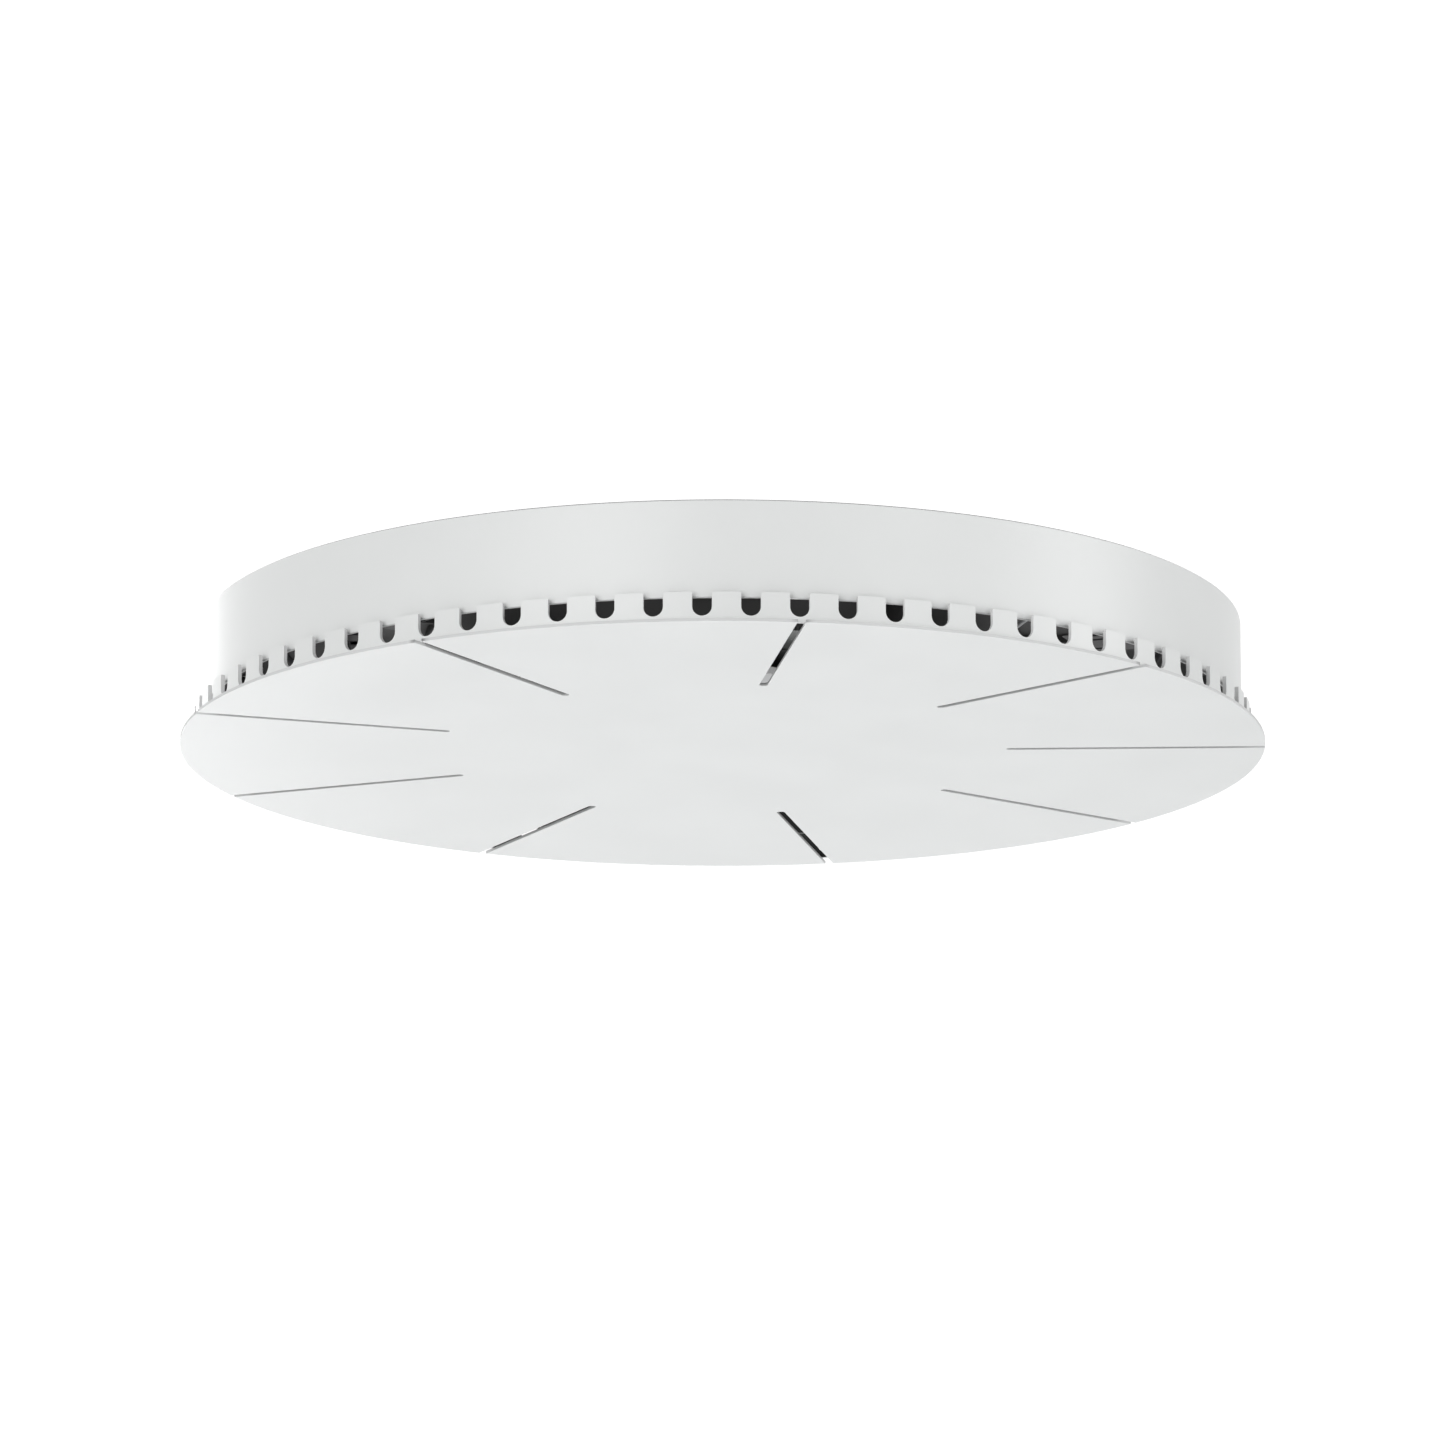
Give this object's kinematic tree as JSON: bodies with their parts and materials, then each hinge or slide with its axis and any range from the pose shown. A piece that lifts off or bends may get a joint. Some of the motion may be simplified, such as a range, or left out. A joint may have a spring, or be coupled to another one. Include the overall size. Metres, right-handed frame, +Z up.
{
  "type": "ceiling access point",
  "caption": "Round wireless access point for a ceiling: a shallow white drum on a twist-on bracket, closed from below by a thin slotted disc with a notched vent ring.",
  "frame": {"origin": "centre of the bracket's ceiling face; the device hangs below it", "axes": "+Z up into the ceiling, +Y from the centre towards the cable hole, +X along one of the cover's slits"},
  "size_m": [0.42, 0.42, 0.0484],
  "materials": {
    "white_shell": "fine satin white",
    "black_shell": "matte black moulding",
    "zinc_steel": "bright zinc plate",
    "spreader_aluminium": "bead blasted",
    "board_lacquer": "dark grey solder lacquer on glass laminate",
    "tin_plate": "tin plated sheet",
    "aerial_tin": "stamped tin plate, blackened",
    "lead_jacket": "smooth grey jacket",
    "black_rubber": "soft matte",
    "pad_silicone": "soft thermal pad",
    "magnet_nickel": "nickel plate",
    "component_black": "moulded component body"
  },
  "bodies": {
    "ceiling_bracket": {"ceiling_bracket": "zinc_steel", "cable_grommet": "black_rubber"},
    "access_point": {"aerial_1": "aerial_tin", "aerial_2": "aerial_tin", "aerial_3": "aerial_tin", "aerial_4": "aerial_tin", "aerial_5": "aerial_tin", "aerial_6": "aerial_tin", "aerial_7": "aerial_tin", "aerial_8": "aerial_tin", "aerial_9": "aerial_tin", "aerial_lead_1": "lead_jacket", "aerial_lead_2": "lead_jacket", "aerial_lead_3": "lead_jacket", "aerial_lead_4": "lead_jacket", "aerial_lead_5": "lead_jacket", "aerial_lead_6": "lead_jacket", "aerial_lead_7": "lead_jacket", "aerial_lead_8": "lead_jacket", "aerial_lead_9": "lead_jacket", "board_screw_1": "zinc_steel", "board_screw_2": "zinc_steel", "board_screw_3": "zinc_steel", "board_screw_4": "zinc_steel", "capacitor_1": "component_black", "capacitor_2": "component_black", "chassis_deck": "black_shell", "chassis_skirt": "black_shell", "console_port": "tin_plate", "drum_shell": "white_shell", "ethernet_jack_1": "tin_plate", "ethernet_jack_2": "tin_plate", "heat_spreader": "spreader_aluminium", "insulating_film": "black_shell", "main_board": "board_lacquer", "poe_transformer": "component_black", "port_bay": "black_shell", "processor": "component_black", "reset_switch": "component_black", "shield_can_1": "tin_plate", "shield_can_2": "tin_plate", "shield_can_3": "tin_plate", "spreader_screw_1": "zinc_steel", "spreader_screw_2": "zinc_steel", "spreader_screw_3": "zinc_steel", "spreader_screw_4": "zinc_steel", "strike_plate_1": "zinc_steel", "strike_plate_2": "zinc_steel", "strike_plate_3": "zinc_steel", "thermal_pad": "pad_silicone"},
    "front_cover": {"cover_post_1": "black_shell", "cover_post_2": "black_shell", "cover_post_3": "black_shell", "front_plate": "white_shell", "post_magnet_1": "magnet_nickel", "post_magnet_2": "magnet_nickel", "post_magnet_3": "magnet_nickel", "vent_ring": "white_shell"},
    "reset_button": {"reset_button": "white_shell"}
  },
  "joints": [
    {"name": "mount_twist", "type": "hinge", "parent": "ceiling_bracket", "child": "access_point", "pos_m": [0, 0, 0], "axis": [0, 0, 1], "range_deg": [0, 15]},
    {"name": "cover_release", "type": "slide", "parent": "access_point", "child": "front_cover", "axis": [0, 0, -1], "range_m": [0, 0.05]},
    {"name": "reset_press", "type": "slide", "parent": "access_point", "child": "reset_button", "axis": [0, -1, 0], "range_m": [0, 0.0008], "stiffness_N_per_m": 1500, "springref_m": -0.0003}
  ]
}
